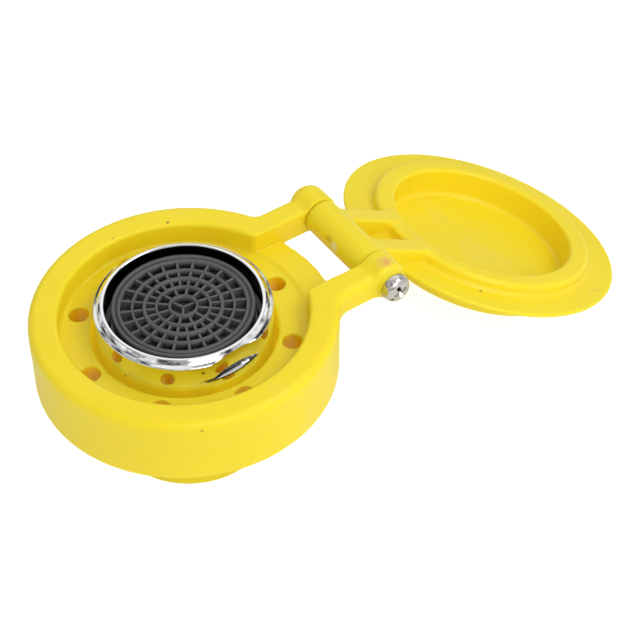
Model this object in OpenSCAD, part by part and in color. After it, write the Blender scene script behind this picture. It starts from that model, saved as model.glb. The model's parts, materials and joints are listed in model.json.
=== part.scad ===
// Eyewash spray head: a moulded bowl round an upturned aerator, with a
// flip-open dust cap on a screw hinge. All sizes are in millimetres.
// Origin: the bowl's axis at the spigot's bottom face. +Z is up, +X points
// from the bowl to the hinge, and the hinge turns about a line along Y.

/* [Bowl] */
// Outside diameter of the bowl
bowl_d = 70.8; // [62:0.2:90]
// Height of the bowl's outer wall
bowl_h = 17.6; // [15:0.1:24]
// Width of the rim between the outer wall and the basin
rim_w = 6.9; // [5:0.1:8.5]
// Round on the rim's outer top edge
rim_round = 1.8; // [0.6:0.1:2.6]
// Depth of the basin below the rim
basin_depth = 5.8; // [5:0.1:8]
// Thickness of the skirt and of the well's floor
wall = 3; // [2:0.1:4]
// Thickness of the basin's floor, which the drain holes go through
floor_t = 5; // [3:0.1:7]
// Radial gap between the aerator and its well
well_gap = 1.1; // [0.6:0.1:2]
// Thickness of the well's own wall
well_wall = 2.4; // [1.6:0.1:3]
// Depth of the well below the basin's floor
well_depth = 8.9; // [7:0.1:12]
// Number of drain holes
drain_count = 8; // [4:1:12]
// Diameter of a drain hole
drain_d = 4.6; // [3:0.1:5]

/* [Spigot] */
// Outside diameter of the spigot under the bowl
spigot_d = 38.4; // [36:0.1:42]
// Length of the spigot below the skirt
spigot_h = 21.1; // [18:0.1:30]
// Thickness of the spigot's wall round the nipple
spigot_wall = 4.7; // [4:0.1:6]
// Thickness of the spigot's wall round the lock nut
nut_room_wall = 2.1; // [1.5:0.1:3]

/* [Hinge] */
// Distance from the bowl's wall to the hinge axis
hinge_reach = 9.8; // [9:0.1:16]
// Depth of the hinge axis below the rim
hinge_drop = 3; // [2.8:0.1:5]
// Clear width between the two arms
arm_gap = 21.6; // [18:0.1:26]
// Thickness of each arm
arm_t = 6.3; // [4:0.1:8]
// Height of each arm
arm_h = 6.8; // [5:0.1:8]
// Diameter of the knuckle at the end of each arm
knuckle_d = 9.4; // [8:0.1:12]
// Length by which the plain knuckle stands outside its arm
knuckle_out = 2; // [0.4:0.1:3]
// Length by which the screw's knuckle stands outside its arm
screw_side_out = 0.8; // [0.4:0.1:3]
// Round on the plain knuckle's outer end
knuckle_dome = 3.5; // [1:0.1:4]
// Round on the screw knuckle's outer end
knuckle_round = 1.8; // [0.5:0.1:2.5]
// Diameter of the boss under the screw head
boss_d = 7.6; // [6:0.1:8.5]
// Height of the boss under the screw head
boss_h = 0.8; // [0.3:0.1:2]
// Fillet between the screw-side arm and the bowl
arm_fillet = 2.5; // [1:0.1:4]
// Gap between each knuckle and the cap's barrel
barrel_gap = 0.3; // [0.2:0.05:0.8]

/* [Hinge screw] */
// Diameter of the screw's shank
screw_d = 3.5; // [2.5:0.1:4]
// Diameter of the pan head
screw_head_d = 6.9; // [5.5:0.1:8]
// Height of the pan head
screw_head_h = 3; // [2.2:0.1:3.5]
// Radial running clearance of the cap on the screw
screw_clear = 0.08; // [0.03:0.01:0.1]

/* [Dust cap] */
// Amount by which the cap's flange overhangs the bowl all round
cap_over = 0.1; // [0:0.1:1]
// Thickness of the flange beside the crown
flange_t = 1.8; // [1.4:0.1:3]
// Thickness of the flange at its edge
flange_edge_t = 1; // [0.8:0.1:2]
// Gap left between the closed flange and the rim
seat_gap = 0.1; // [0.05:0.05:0.5]
// Radial gap between the plug and the basin's wall
plug_gap = 0.4; // [0.3:0.1:1]
// Height of the plug below the flange
plug_h = 3; // [1.5:0.1:4]
// Radial space between the recess and the aerator's shell
recess_clear = 2.7; // [1:0.1:4]
// Space left above the aerator when the cap is closed
crown_clear = 1.6; // [1:0.1:8]
// Thickness of the crown over the recess
crown_t = 4; // [1.6:0.1:5]
// Thickness of the crown's wall round the recess
crown_wall = 3.2; // [2:0.1:4]
// Diameter of the hinge barrel
barrel_d = 8.8; // [7:0.1:10]
// Distance between the middles of the two webs
web_pitch = 12.8; // [9:0.1:14]
// Thickness of each web
web_t = 5.2; // [2:0.1:6]
// Distance from the hinge axis to the webs' open side at the barrel
web_rise = 2.9; // [1:0.1:3.5]

/* [Aerator] */
// Outside diameter of the aerator's shell
shell_d = 40.8; // [38:0.1:44]
// Height of the shell
shell_h = 14.5; // [13:0.1:20]
// Thickness of the shell's wall at its open mouth
mouth_wall = 2.5; // [2:0.1:3.5]
// Width of the sloping shoulder round the mouth
shoulder_w = 2; // [1:0.1:2.4]
// Depth of the two wrench flats
flats_cut = 1.1; // [0.5:0.1:1.5]
// Height of the wrench flats
flats_h = 5.9; // [4:0.1:8]
// Turn of the wrench flats from the hinge direction, in degrees
flats_turn = 4; // [-45:1:45]
// Thickness of the shell's wall round its thread
thread_wall = 2.4; // [1.8:0.1:3]

/* [Outlet grid] */
// Open ring between the grid's rim and the shell's mouth
grid_gap = 1.6; // [0.6:0.1:3]
// Width of the grid's rim
grid_rim_w = 2; // [1.2:0.1:3]
// Depth of the grid's face below the shell's mouth
grid_inset = 1.3; // [0.6:0.1:3]
// Height of the grid's ribs
rib_h = 2.4; // [1.5:0.1:4]
// Thickness of the thin ribs
rib_t = 0.55; // [0.4:0.05:1]
// Diameter of the grid's hub ring
hub_d = 6.3; // [4:0.1:8]
// Number of spokes in the three outer rings of cells
spokes = 24; // [12:2:30]

/* [Inlet] */
// Radius of the inlet thread's wall
inlet_r = 9.32; // [8:0.01:10.5]
// Length of the inlet thread
inlet_depth = 13.5; // [12:0.5:16]
// Thickness of the flat seals
seal_t = 1; // [0.8:0.1:2]
// Thickness of the nipple's collar
collar_t = 2; // [1.5:0.1:3]
// Thickness of the lock nut
nut_t = 4; // [3:0.1:6]

/* [Hidden] */
$fn = 96;
slip = 0.05;      // radial clearance of parts screwed or pressed together
eps = 0.01;       // overlap of shapes joined inside one part

// Levels of the bowl
skirt_z = spigot_h;
rim_z = skirt_z + bowl_h;
basin_z = rim_z - basin_depth;
well_z = basin_z - well_depth;
bowl_r = bowl_d / 2;
basin_r = bowl_r - rim_w;
shell_r = shell_d / 2;
well_r = shell_r + well_gap;
notch_z = basin_z + 0.6;

// Levels of the inlet and the aerator, from the well's floor up
collar_z = well_z + seal_t;
collar_top_z = collar_z + collar_t;
shell_z = collar_top_z + 0.2;
thread_h = 4;
nipple_top_z = collar_top_z + thread_h;
flange_z = nipple_top_z + seal_t;
ledge_t = 1.5;
ledge_z = flange_z + 2;
lip_z = shell_z + shell_h;
grid_z = lip_z - grid_inset;
grid_foot_z = grid_z - rib_h;

// Radii of the aerator and the nipple
collar_r = shell_r - 0.6;
mouth_r = shell_r - mouth_wall;
thread_r = shell_r - thread_wall;
flat_r = shell_r - flats_cut;
grid_r = mouth_r - grid_gap;
ledge_r = grid_r + 0.5;
spigot_r = spigot_d / 2;
shank_r = spigot_r - spigot_wall;
nut_room_r = spigot_r - nut_room_wall;
nipple_bore_r = min(shank_r, thread_r) - 1.6;
relief_r = inlet_r + 0.5;
neck_r = inlet_r - 1.6;
washer_z = inlet_depth + 1.6;
neck_top_z = washer_z + 3;

// Pieces inside the aerator
screen_t = 0.35;
screen_r = grid_r - 1.3;
fine_z = grid_foot_z - screen_t - slip;
coarse_z = fine_z - screen_t - slip;
cup_r = min(grid_r - 1.2, thread_r - 1.6);
jets_t = 1.2;
jets_z = flange_z + 0.4;
stem_r = nipple_bore_r - 0.3;
stem_bore_r = stem_r - 2.2;
stem_z = nipple_top_z - 4.4;
jet_ring_r = stem_r - 3.6;
core_z = stem_z + 1;
core_h = 2.8;
core_foot = 0.8;
core_hub_r = stem_r - 5.4;
core_ring_r = 1;

// Hinge
hinge_x = bowl_r + hinge_reach;
hinge_z = rim_z - hinge_drop;
arm_in = arm_gap / 2;
arm_out = arm_in + arm_t;
knuckle_end = arm_out + knuckle_out;
screw_side_end = arm_out + screw_side_out;
screw_seat = screw_side_end + boss_h;
barrel_end = arm_in - barrel_gap;
screw_r = screw_d / 2;
screw_tip = knuckle_end - 2.4;

// Cap, in its closed position over the bowl
cap_z = rim_z + seat_gap;
cap_r = bowl_r + cap_over;
plug_r = basin_r - plug_gap;
recess_r = shell_r + recess_clear;
recess_round = 1.5;
plug_round = min(0.8, (plug_r - recess_r) * 0.45);
flange_round = flange_edge_t * 0.4;
recess_top = lip_z - cap_z + crown_clear;
crown_h = recess_top + crown_t;
crown_r = recess_r + crown_wall;
crown_round = 2.5;

// The open cap turns until its crown's round edge lies on the same plane as
// the spigot: (edge_x, edge_z) is that round's middle, from the hinge axis.
edge_x = hinge_x + crown_r - crown_round;
edge_z = cap_z - hinge_z + crown_h - crown_round;
edge_reach = norm([edge_x, edge_z]);
rest_gap = 0.02;
open_drop = asin((hinge_z - crown_round - rest_gap) / edge_reach) - atan2(edge_z, edge_x);
open_angle = 180 + open_drop;

// Points of an arc, for rounds in a turned outline
function arc(x, z, r, from, to, steps = 6) =
    [for (i = [0:steps]) let (a = from + (to - from) * i / steps) [x + r * cos(a), z + r * sin(a)]];

// A ring with its axis along Z
module ring(r_out, r_in, z_low, z_high) {
    translate([0, 0, z_low])
        difference() {
            cylinder(r = r_out, h = z_high - z_low);
            translate([0, 0, -1])
                cylinder(r = r_in, h = z_high - z_low + 2);
        }
}

// A cylinder along Y on the hinge axis, from y_low to y_high
module hinge_rod(r, y_low, y_high) {
    translate([hinge_x, y_high, hinge_z])
        rotate([90, 0, 0])
            cylinder(r = r, h = y_high - y_low);
}

// Skirt and rim, turned in one piece, with rounded top edges
module skirt_and_rim() {
    rotate_extrude()
        polygon(concat(
            [[bowl_r - wall, skirt_z], [bowl_r - 0.6, skirt_z], [bowl_r, skirt_z + 0.6]],
            arc(bowl_r - rim_round, rim_z - rim_round, rim_round, 0, 90),
            arc(basin_r + 1, rim_z - 1, 1, 90, 180, 4),
            [[basin_r, basin_z - floor_t], [bowl_r - wall, basin_z - floor_t]]
        ));
}

// Knuckle turned about the hinge axis, from the arms' inner face to a
// rounded outer end; side is -1 for the screw's side
module knuckle(side, outer_end, end_round) {
    r = knuckle_d / 2;
    translate([hinge_x, 0, hinge_z])
        rotate([side * -90, 0, 0])
            rotate_extrude()
                polygon(concat([[0, arm_in], [r, arm_in]],
                    arc(r - end_round, outer_end - end_round, end_round, 0, 90),
                    [[0, outer_end]]));
}

// One arm with the knuckle at its end; side is -1 for the screw's side
module arm(side) {
    root_x = sqrt(pow(bowl_r - 1, 2) - pow(arm_out, 2)) - 2;
    translate([root_x, side > 0 ? arm_in : -arm_out, rim_z - arm_h])
        cube([hinge_x - root_x, arm_t, arm_h]);
    if (side > 0)
        knuckle(side, knuckle_end, knuckle_dome);
    else {
        knuckle(side, screw_side_end, knuckle_round);
        hinge_rod(boss_d / 2, -screw_seat, -arm_out);
    }
}

// Fillet between the screw-side arm and the bowl's wall
module arm_corner() {
    mid_y = arm_out + arm_fillet;
    mid_x = sqrt(pow(bowl_r + arm_fillet, 2) - pow(mid_y, 2));
    touch = bowl_r / (bowl_r + arm_fillet);
    translate([0, 0, rim_z - arm_h])
        difference() {
            linear_extrude(arm_h - rim_round)
                polygon([[mid_x, -mid_y], [mid_x, -arm_out + 1], [mid_x - 3, -arm_out + 1],
                    [mid_x * touch - 1, -mid_y * touch + 0.6]]);
            translate([mid_x, -mid_y, -1])
                cylinder(r = arm_fillet, h = arm_h + 2);
        }
}

module bowl() {
    drain_r = (well_r + basin_r) / 2;
    color("#f0da3c")
        difference() {
            union() {
                skirt_and_rim();
                ring(bowl_r - wall + eps, well_r, basin_z - floor_t, basin_z);
                ring(well_r + well_wall, well_r, well_z - eps, basin_z);
                translate([0, 0, well_z - wall])
                    cylinder(r = well_r + well_wall, h = wall);
                cylinder(r = spigot_r, h = well_z);
                arm(1);
                arm(-1);
                arm_corner();
            }
            // notch in the rim, between the arms, for the cap's webs
            translate([0, -arm_in, notch_z])
                cube([hinge_x, arm_gap, rim_z]);
            for (i = [0:drain_count - 1])
                rotate([0, 0, i * 360 / drain_count])
                    translate([drain_r, 0, basin_z - floor_t - 1])
                        cylinder(d = drain_d, h = floor_t + 2);
            translate([0, 0, -1])
                cylinder(r = shank_r + slip, h = well_z + 2);
            translate([0, 0, -1])
                cylinder(r = nut_room_r, h = nut_t + seal_t + 1);
            hinge_rod(screw_r + slip, -screw_seat - 1, screw_tip + 0.4);
        }
}

// One web between the hinge barrel and the plug, in the closed position
module web(side) {
    root_x = recess_r + 0.4;
    barrel_x = sqrt(pow(barrel_d / 2, 2) - pow(web_rise, 2));
    translate([0, side * web_pitch / 2 + web_t / 2, 0])
        rotate([90, 0, 0])
            linear_extrude(web_t)
                polygon([[root_x, cap_z + flange_t], [root_x, cap_z - plug_h],
                    [hinge_x - barrel_x, hinge_z - web_rise],
                    [hinge_x, hinge_z], [hinge_x - 0.4, hinge_z + barrel_d / 2 - 0.3],
                    [bowl_r - 2, cap_z + flange_t]]);
}

// Cap as it sits on the bowl: flange, plug, recess and crown
module cap_disc() {
    translate([0, 0, cap_z])
        rotate_extrude()
            polygon(concat(
                [[0, recess_top]],
                arc(recess_r - recess_round, recess_top - recess_round, recess_round, 90, 0),
                arc(recess_r + plug_round, plug_round - plug_h, plug_round, 180, 270, 3),
                arc(plug_r - plug_round, plug_round - plug_h, plug_round, 270, 360, 3),
                [[plug_r, 0]],
                arc(cap_r - flange_round, flange_round, flange_round, 270, 360, 3),
                arc(cap_r - flange_round, flange_edge_t - flange_round, flange_round, 0, 90, 3),
                arc(crown_r + 2, flange_t + 2, 2, 270, 180, 4),
                arc(crown_r - crown_round, crown_h - crown_round, crown_round, 0, 90),
                [[0, crown_h]]
            ));
}

module dust_cap() {
    color("#f2dc40")
        translate([hinge_x, 0, hinge_z])
            rotate([0, open_angle, 0])
                translate([-hinge_x, 0, -hinge_z])
                    difference() {
                        union() {
                            cap_disc();
                            web(1);
                            web(-1);
                            hinge_rod(barrel_d / 2, -barrel_end, barrel_end);
                        }
                        hinge_rod(screw_r + screw_clear, -barrel_end - 1, barrel_end + 1);
                    }
}

module hinge_screw() {
    recess_w = 0.8;
    recess_depth = 1.2;
    head_round = 2;
    color("#c9c6be")
        difference() {
            union() {
                hinge_rod(screw_r, -screw_seat, screw_tip);
                translate([hinge_x, -screw_seat, hinge_z])
                    rotate([90, 0, 0])
                        rotate_extrude()
                            polygon(concat([[0, 0], [screw_head_d / 2, 0]],
                                arc(screw_head_d / 2 - head_round, screw_head_h - head_round,
                                    head_round, 0, 80),
                                [[0, screw_head_h]]));
            }
            for (turn = [20, 110])
                translate([hinge_x, -screw_seat - screw_head_h, hinge_z])
                    rotate([0, turn, 0])
                        cube([screw_head_d * 0.6, 2 * recess_depth, recess_w], center = true);
        }
}

module aerator_shell() {
    r = shell_r;
    lip_r = mouth_r + 0.5;
    color("#cfd1d4")
        difference() {
            rotate_extrude()
                polygon([[thread_r + slip, shell_z], [r - 0.4, shell_z], [r, shell_z + 0.4],
                    [r, lip_z - 1.3], [r - 0.3, lip_z - 0.8], [lip_r + shoulder_w / 2, lip_z - 0.3],
                    [lip_r, lip_z], [mouth_r + 0.2, lip_z], [mouth_r, lip_z - 0.3],
                    [mouth_r, ledge_z + ledge_t], [ledge_r, ledge_z + ledge_t],
                    [ledge_r, ledge_z], [thread_r + slip, ledge_z]]);
            rotate([0, 0, flats_turn])
                for (side = [-1, 1])
                    translate([-r, side > 0 ? flat_r : -flat_r - 5, lip_z - flats_h])
                        cube([shell_d, 5, flats_h + 1]);
        }
}

// Plastic grid that the water leaves through
module outlet_grid() {
    out_r = grid_r - grid_rim_w;
    hub_r = hub_d / 2;
    cell_w = (out_r - hub_r) / 4.1;
    radii = [for (i = [0:3]) out_r - i * cell_w];
    tip = grid_z - 0.1;
    color("#63605e") {
        ring(grid_r, out_r, grid_foot_z, grid_z);
        for (r = [radii[1], radii[2], radii[3], hub_r])
            ring(r + rib_t / 2, r - rib_t / 2, grid_foot_z, tip);
        for (i = [0:spokes - 1])
            rotate([0, 0, i * 360 / spokes + 3.5])
                translate([radii[3], -rib_t / 2, grid_foot_z])
                    cube([out_r - radii[3] + 0.5, rib_t, tip - grid_foot_z - 0.2]);
        for (i = [0:spokes / 2 - 1])
            rotate([0, 0, i * 720 / spokes + 18.5])
                translate([hub_r, -rib_t / 2, grid_foot_z])
                    cube([radii[3] - hub_r, rib_t, tip - grid_foot_z - 0.2]);
        for (i = [0:2])
            rotate([0, 0, i * 120 - 5])
                translate([0, -rib_t / 2, grid_foot_z])
                    cube([hub_r, rib_t, rib_h - 0.8]);
    }
}

// Woven discs under the grid, made as plain thin discs
module screen(z) {
    color("#9a9c9e")
        translate([0, 0, z])
            cylinder(r = screen_r, h = screen_t);
}
module fine_screen() { screen(fine_z); }
module coarse_screen() { screen(coarse_z); }

// Housing that drops into the shell and carries the grid, screens and jets
module cartridge_body() {
    color("#d9d9d4")
        difference() {
            union() {
                translate([0, 0, flange_z])
                    cylinder(r = thread_r - 0.4, h = ledge_z - flange_z);
                translate([0, 0, ledge_z - eps])
                    cylinder(r = grid_r - 0.1, h = grid_foot_z - ledge_z);
                translate([0, 0, stem_z])
                    cylinder(r = stem_r, h = flange_z - stem_z + eps);
            }
            translate([0, 0, jets_z])
                cylinder(r = cup_r, h = 20);
            translate([0, 0, stem_z - 1])
                cylinder(r = stem_bore_r, h = 20);
        }
}

// Plate that splits the water into jets
module diffuser_plate() {
    jet_count = 12;
    color("#e8e8e4")
        difference() {
            translate([0, 0, jets_z])
                cylinder(r = cup_r - slip, h = jets_t);
            for (i = [0:jet_count - 1])
                rotate([0, 0, i * 360 / jet_count])
                    translate([jet_ring_r, 0, jets_z - 1])
                        cylinder(r = 0.6, h = jets_t + 2, $fn = 24);
        }
}

// Flow regulator: a notched core inside the housing's stem, with its ring
module regulator_core() {
    color("#4f7fb0")
        difference() {
            union() {
                translate([0, 0, core_z])
                    cylinder(r = stem_bore_r - slip, h = core_foot);
                translate([0, 0, core_z])
                    cylinder(r = core_hub_r, h = core_h);
            }
            for (i = [0:7])
                rotate([0, 0, i * 45])
                    translate([core_hub_r + 1.7, 0, core_z - 1])
                        cylinder(r = 0.8, h = 3, $fn = 24);
        }
}
module regulator_ring() {
    color("#232323")
        translate([0, 0, core_z + core_foot + core_ring_r + slip])
            rotate_extrude()
                translate([core_hub_r + core_ring_r + slip, 0])
                    circle(r = core_ring_r, $fn = 32);
}

// Domed strainer on the inlet side of the housing
module inlet_strainer() {
    rim_r = stem_r - 0.6;
    dome_h = stem_z - neck_top_z - 0.8;
    bend = (rim_r * rim_r + dome_h * dome_h) / (2 * dome_h);
    sweep = asin(rim_r / bend);
    skin = 0.4;
    top = stem_z - slip;
    color("#b8babc")
        rotate_extrude()
            polygon(concat(
                arc(0, top - dome_h + bend, bend, -90, -90 + sweep, 8),
                [[rim_r, top], [rim_r - skin, top]],
                arc(0, top - dome_h + bend, bend - skin, -90 + sweep - 2, -90, 8)
            ));
}

module aerator_washer() {
    color("#2a2a2a")
        ring(thread_r - 0.4, nipple_bore_r + 0.4, nipple_top_z, flange_z);
}

// Brass nipple: inlet thread below, aerator thread above, collar between
module inlet_nipple() {
    color("#c8a24a")
        difference() {
            union() {
                cylinder(r = shank_r, h = collar_z + eps);
                translate([0, 0, collar_z])
                    cylinder(r = collar_r, h = collar_t);
                translate([0, 0, collar_z])
                    cylinder(r = thread_r, h = nipple_top_z - collar_z);
            }
            translate([0, 0, -1])
                cylinder(r = inlet_r, h = inlet_depth + 2);
            translate([0, 0, inlet_depth])
                cylinder(r = relief_r, h = washer_z - inlet_depth);
            cylinder(r = neck_r, h = nipple_top_z);
            translate([0, 0, neck_top_z])
                cylinder(r = nipple_bore_r, h = nipple_top_z);
        }
}

module nipple_gasket() {
    color("#2a2a2a")
        ring(collar_r, shank_r + slip, well_z, collar_z);
}

// Slotted ring nut that clamps the nipple in the spigot
module lock_nut() {
    r = nut_room_r - 0.2;
    color("#c8a24a")
        difference() {
            ring(r, shank_r + slip, 0.2, nut_t);
            for (i = [0:3])
                rotate([0, 0, i * 90 + 45])
                    translate([r, 0, 0])
                        cube([2.4, 3, 2.4], center = true);
        }
}

module lock_washer() {
    color("#c0c2c4")
        ring(nut_room_r - 0.3, shank_r + slip, nut_t, nut_t + seal_t);
}

module inlet_washer() {
    color("#2a2a2a")
        ring(relief_r - slip, neck_r - 1, inlet_depth, washer_z);
}

bowl();
dust_cap();
hinge_screw();
aerator_shell();
outlet_grid();
fine_screen();
coarse_screen();
cartridge_body();
diffuser_plate();
regulator_core();
regulator_ring();
inlet_strainer();
aerator_washer();
inlet_nipple();
nipple_gasket();
lock_nut();
lock_washer();
inlet_washer();
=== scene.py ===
import json
import math
import bmesh
import bpy
import numpy as np
from mathutils import Matrix, Vector


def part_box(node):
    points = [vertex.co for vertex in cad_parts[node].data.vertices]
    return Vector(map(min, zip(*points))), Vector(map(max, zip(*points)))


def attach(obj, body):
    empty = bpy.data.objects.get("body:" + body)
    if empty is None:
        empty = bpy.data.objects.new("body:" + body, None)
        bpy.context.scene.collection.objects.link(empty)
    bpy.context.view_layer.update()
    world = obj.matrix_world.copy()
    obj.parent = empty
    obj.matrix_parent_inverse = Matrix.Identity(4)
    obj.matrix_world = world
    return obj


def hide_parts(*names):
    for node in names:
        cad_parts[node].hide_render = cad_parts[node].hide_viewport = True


# Eyewash spray head: the looks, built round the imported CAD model.
# Shapes are worked out in millimetres and written into the meshes in metres.
# The bowl and the cap are solids given as signed distances, negative inside.
MM = 0.001
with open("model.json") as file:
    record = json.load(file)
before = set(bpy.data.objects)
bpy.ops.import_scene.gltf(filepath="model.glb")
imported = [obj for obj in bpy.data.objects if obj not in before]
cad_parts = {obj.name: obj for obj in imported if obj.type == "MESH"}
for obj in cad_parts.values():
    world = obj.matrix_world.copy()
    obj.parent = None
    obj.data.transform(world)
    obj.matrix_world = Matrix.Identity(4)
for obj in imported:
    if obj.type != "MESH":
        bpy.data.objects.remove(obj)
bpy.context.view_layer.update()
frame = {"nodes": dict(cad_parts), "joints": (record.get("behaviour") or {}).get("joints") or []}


def node_box(name):
    low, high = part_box(name)
    return low / MM, high / MM


# ---------------------------------------------------------------- sizes, in millimetres

joint = frame["joints"][0]
hinge_x = joint["pos_m"][0] / MM
hinge_z = joint["pos_m"][2] / MM
open_angle = -math.radians(joint["range_deg"][0])

bowl_low, bowl_high = node_box("bowl")
shell_low, shell_high = node_box("aerator_shell")
grid_low, grid_high = node_box("outlet_grid")
screw_low, screw_high = node_box("hinge_screw")
gasket_low, _ = node_box("nipple_gasket")

# Bowl
bowl_r = -bowl_low.x
knuckle_r = bowl_high.x - hinge_x
hinge_drop = 3.0
rim_z = hinge_z + hinge_drop
rim_w = 6.9
rim_round = 2.0
rim_band = 0.1
rim_band_z = 9.5
rim_band_fade = 3.0
bowl_h = 17.6
basin_depth = 5.8
basin_r = bowl_r - rim_w
basin_z = rim_z - basin_depth
skirt_z = rim_z - bowl_h
skirt_round = 0.6
wall = 3.0
floor_t = 5.5
well_gap = 1.1
well_wall = 2.4
well_r = shell_high.x + well_gap
well_outer_r = well_r + well_wall
well_z = gasket_low.z
spigot_r = 19.2
spigot_top = well_z - 1.2
shank_r = 14.55
nut_room_r = 17.1
nut_room_h = 5.0
drain_count = 8
drain_r = (well_r + basin_r) / 2
drain_bore_r = 2.3
notch_z = basin_z + 0.6
notch_x = 20

# Aerator shell
mouth_r = shell_high.x - 2.5
shell_thread_r = shell_high.x - 2.35
flat_depth = 1.1
flat_h = 5.9
flat_turn = math.radians(4)

# Hinge
arm_in = 10.8
arm_out = arm_in + 6.3
arm_h = 6.8
arm_fillet = 2.5
arm_round = 1.2
corner_fillet = 0.8
window_round = 0.45
knuckle_dome = 3.5
knuckle_round = 1.8
knuckle_end = arm_out + 2.0
screw_side_end = arm_out + 0.8
boss_h = 0.8
boss_round = 0.3
screw_seat = screw_side_end + boss_h
boss_r = 3.8
screw_r = 1.75
screw_head_r = 3.45
screw_head_round = 1.9
screw_bore_r = screw_r + 0.05
screw_tip_room = 0.4

# Dust cap, in its closed position
seat_gap = 0.1
cap_over = 0.1
cap_z = rim_z + seat_gap
cap_r = bowl_r + cap_over
flange_t = 1.8
flange_edge_t = 1.0
flange_round = 0.4
plug_gap = 0.4
plug_r = basin_r - plug_gap
plug_h = 3.0
plug_round = 1.2
plug_fillet = 1.4
recess_clear = 2.7
recess_r = shell_high.x + recess_clear
recess_top = shell_high.z - cap_z + 1.6
crown_t = 4.0
crown_wall = 3.2
crown_round = 2.5
crown_fillet = 2.0
crown_h = recess_top + crown_t
crown_r = recess_r + crown_wall
barrel_r = 4.4
barrel_gap = 0.3
barrel_end = arm_in - barrel_gap
web_mid = 6.4
web_half = 2.6
web_rise = 2.9


# ---------------------------------------------------------------- solid shapes as distances

def rounded_union(a, b, r):
    return np.maximum(r, np.minimum(a, b)) - np.hypot(np.maximum(r - a, 0), np.maximum(r - b, 0))


def rounded_overlap(a, b, r):
    return np.minimum(-r, np.maximum(a, b)) + np.hypot(np.maximum(r + a, 0), np.maximum(r + b, 0))


def carve(a, b, r):
    return rounded_overlap(a, -b, r)


def rectangle(u, v, u_low, u_high, v_low, v_high, r=0.0):
    """Distance to a rectangle with rounded corners, in the plane of u and v."""
    a = np.abs(u - (u_low + u_high) / 2) - (u_high - u_low) / 2 + r
    b = np.abs(v - (v_low + v_high) / 2) - (v_high - v_low) / 2 + r
    return np.hypot(np.maximum(a, 0), np.maximum(b, 0)) + np.minimum(np.maximum(a, b), 0) - r


def smooth_step(t):
    t = np.clip(t, 0, 1)
    return t * t * (3 - 2 * t)


def hinge_rod(x, y, z, r, y_low, y_high, end_round):
    """A rod on the hinge axis with one round at its ends."""
    reach = np.hypot(x - hinge_x, z - hinge_z)
    return rectangle(reach, y, -r, r, y_low, y_high, end_round)


def bowl_shape(x, y, z):
    radius = np.hypot(x, y)
    # rim and skirt: the rim's band stands a little proud of the wall below it
    band = rim_band * smooth_step((z - skirt_z - rim_band_z) / rim_band_fade)
    body = rounded_overlap(radius - bowl_r + rim_band - band, z - rim_z, rim_round)
    body = rounded_overlap(body, skirt_z - z, skirt_round)
    # arms in one plan with the rim, so that their tops run on into it
    near_arm = rectangle(x, y, notch_x, hinge_x, -arm_out, -arm_in + 1)
    far_arm = rectangle(x, y, notch_x, hinge_x, arm_in - 1, arm_out)
    plan = rounded_union(radius - bowl_r, near_arm, arm_fillet)
    plan = rounded_union(plan, far_arm, corner_fillet)
    arms = rounded_overlap(plan, z - rim_z, rim_round)
    arms = rounded_overlap(arms, rim_z - arm_h - z, arm_round)
    knuckle = hinge_rod(x, y, z, knuckle_r, arm_in - 4, knuckle_end, knuckle_dome)
    arms = rounded_union(arms, knuckle, corner_fillet)
    knuckle = hinge_rod(x, y, z, knuckle_r, -screw_side_end, 4 - arm_in, knuckle_round)
    arms = rounded_union(arms, knuckle, corner_fillet)
    boss = hinge_rod(x, y, z, boss_r, -screw_seat, -arm_in, boss_round)
    arms = rounded_union(arms, boss, boss_round)
    side = np.abs(y) - arm_in
    window = np.maximum(bowl_r + 0.3 - radius, side)
    notch = np.maximum(np.maximum(notch_x - x, side), notch_z - z)
    arms = carve(arms, np.minimum(window, notch), window_round)
    # the rim's notch for the webs has a soft sill at the outside
    sill = rounded_overlap(radius - bowl_r, z - notch_z, 0.9)
    opening = np.maximum(np.maximum(notch_x - x, side), notch_z - 3 - z)
    body = np.minimum(carve(body, opening, window_round),
                      np.maximum(np.maximum(body, sill), side - 0.3))
    body = np.minimum(body, arms)
    # basin, the space inside the skirt, and the aerator's well
    basin = rounded_overlap(radius - basin_r, basin_z - z, 0.8)
    body = carve(body, basin, 1.0)
    below = rounded_overlap(radius - bowl_r + wall, z - basin_z + floor_t, 1.2)
    below = rounded_overlap(below, well_outer_r - radius, 0.8)
    body = carve(body, below, 0.5)
    well = rounded_overlap(radius - well_r, well_z - z, 0.5)
    body = carve(body, well, 0.5)
    # drain holes, all as one hole folded round the axis
    step = 2 * math.pi / drain_count
    turn = np.arctan2(y, x)
    turn = turn - step * np.round(turn / step)
    drain = np.hypot(radius * np.cos(turn) - drain_r, radius * np.sin(turn)) - drain_bore_r
    body = carve(body, np.maximum(drain, basin_z - floor_t - 3 - z), 0.3)
    # spigot with the nipple's bore and the lock nut's room
    spigot = rectangle(radius, z, -spigot_r, spigot_r, 0, spigot_top, 0.6)
    body = rounded_union(body, spigot, 0.8)
    body = carve(body, np.maximum(radius - shank_r, z - well_z - 2), 0.25)
    body = carve(body, np.maximum(radius - nut_room_r, z - nut_room_h), 0.4)
    bore = np.hypot(x - hinge_x, z - hinge_z) - screw_bore_r
    return carve(body, np.maximum(bore, y - screw_high.y - screw_tip_room), 0.15)


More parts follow.
